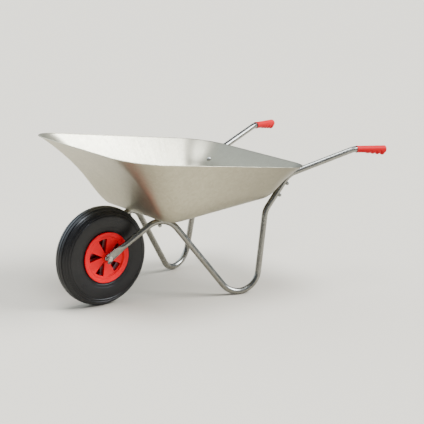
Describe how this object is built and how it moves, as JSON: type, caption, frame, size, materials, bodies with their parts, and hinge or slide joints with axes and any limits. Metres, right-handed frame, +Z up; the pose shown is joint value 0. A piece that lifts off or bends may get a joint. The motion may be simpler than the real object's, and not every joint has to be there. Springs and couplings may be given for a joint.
{
  "type": "wheelbarrow",
  "caption": "Garden wheelbarrow: a pressed galvanised steel tray on two bent tubes that serve as fork, legs and handles, with a pneumatic tyre on a moulded rim.",
  "frame": {"origin": "on the ground, under the middle of the barrow's width and, within 4 mm, of its length", "axes": "+X forwards to the wheel, +Y to the operator's left, +Z up"},
  "size_m": [1.3918, 0.775, 0.6497],
  "materials": {
    "galvanised_sheet": "galvanised sheet, soft satin, faint spangle",
    "galvanised_tube": "galvanised tube, satin with drawing marks",
    "zinc_plate": "zinc plated fasteners, satin",
    "red_rim_plastic": "moulded red plastic, semi-gloss",
    "red_grip_plastic": "moulded red soft plastic, satin",
    "tyre_rubber": "black rubber with fine circumferential ribs",
    "butyl_rubber": "matt black rubber",
    "black_plastic": "matt black plastic",
    "bush_plastic": "dark grey nylon"
  },
  "bodies": {
    "frame": {"axle_bolt": "zinc_plate", "axle_nut": "zinc_plate", "axle_spacer_left": "zinc_plate", "axle_spacer_right": "zinc_plate", "axle_washer_left": "zinc_plate", "axle_washer_right": "zinc_plate", "tray": "galvanised_sheet", "frame_tube_left": "galvanised_tube", "frame_tube_right": "galvanised_tube", "grip_left": "red_grip_plastic", "grip_right": "red_grip_plastic", "tray_bolt_left_front": "zinc_plate", "tray_bolt_left_lower": "zinc_plate", "tray_bolt_left_upper": "zinc_plate", "tray_bolt_right_front": "zinc_plate", "tray_bolt_right_lower": "zinc_plate", "tray_bolt_right_upper": "zinc_plate", "tray_washer_left_front": "zinc_plate", "tray_washer_left_lower": "zinc_plate", "tray_washer_left_upper": "zinc_plate", "tray_washer_right_front": "zinc_plate", "tray_washer_right_lower": "zinc_plate", "tray_washer_right_upper": "zinc_plate", "tray_nut_left_front": "zinc_plate", "tray_nut_left_lower": "zinc_plate", "tray_nut_left_upper": "zinc_plate", "tray_nut_right_front": "zinc_plate", "tray_nut_right_lower": "zinc_plate", "tray_nut_right_upper": "zinc_plate", "tray_spacer_left": "zinc_plate", "tray_spacer_right": "zinc_plate"},
    "wheel": {"tyre": "tyre_rubber", "inner_tube": "butyl_rubber", "valve_cap": "black_plastic", "rim": "red_rim_plastic", "hub_bush_left": "bush_plastic", "hub_bush_right": "bush_plastic"}
  },
  "joints": [
    {"name": "wheel_spin", "type": "hinge", "parent": "frame", "child": "wheel", "pos_m": [0.5, 0, 0.2], "axis": [0, 1, 0], "continuous": true}
  ]
}
